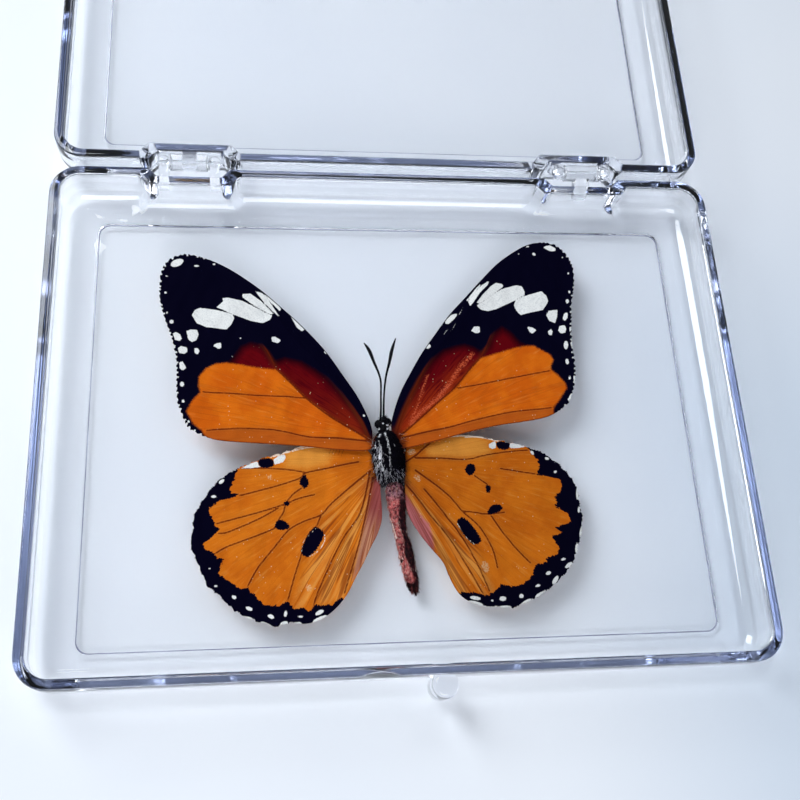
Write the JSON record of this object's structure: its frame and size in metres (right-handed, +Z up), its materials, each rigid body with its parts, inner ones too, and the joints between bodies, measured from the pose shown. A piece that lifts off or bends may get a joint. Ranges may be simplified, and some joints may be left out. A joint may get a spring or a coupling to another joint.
{
  "type": "butterfly specimen in a hinged display box",
  "caption": "Dried butterfly with spread wings lying in a shallow clear hinged display box, shown open and flat; the lid swings over to close.",
  "frame": {"origin": "centre of the tray's flat underside", "axes": "+Z up; +Y from the tray to the open lid; +X to the right, seen from the front"},
  "size_m": [0.12, 0.1877, 0.0106],
  "materials": {
    "clear_plastic": "clear polished moulding, faintly violet at its edges",
    "wing": "dry overlapping scales, orange with black margins and white spots",
    "dark_body": "black dry cuticle with white dots and grey hair",
    "abdomen": "reddish brown dry cuticle with fine hair"
  },
  "bodies": {
    "tray": {"tray": "clear_plastic", "head": "dark_body", "thorax": "dark_body", "abdomen": "abdomen", "forewing_left": "wing", "forewing_right": "wing", "hindwing_left": "wing", "hindwing_right": "wing", "antenna_left": "dark_body", "antenna_right": "dark_body", "leg_middle_left": "dark_body", "leg_middle_right": "dark_body", "leg_hind_left": "dark_body", "leg_hind_right": "dark_body"},
    "lid": {"lid": "clear_plastic"}
  },
  "joints": [
    {"name": "lid_hinge", "type": "hinge", "parent": "tray", "child": "lid", "pos_m": [0, 0.04565, 0.00915], "axis": [1, 0, 0], "range_deg": [0, 180]}
  ]
}
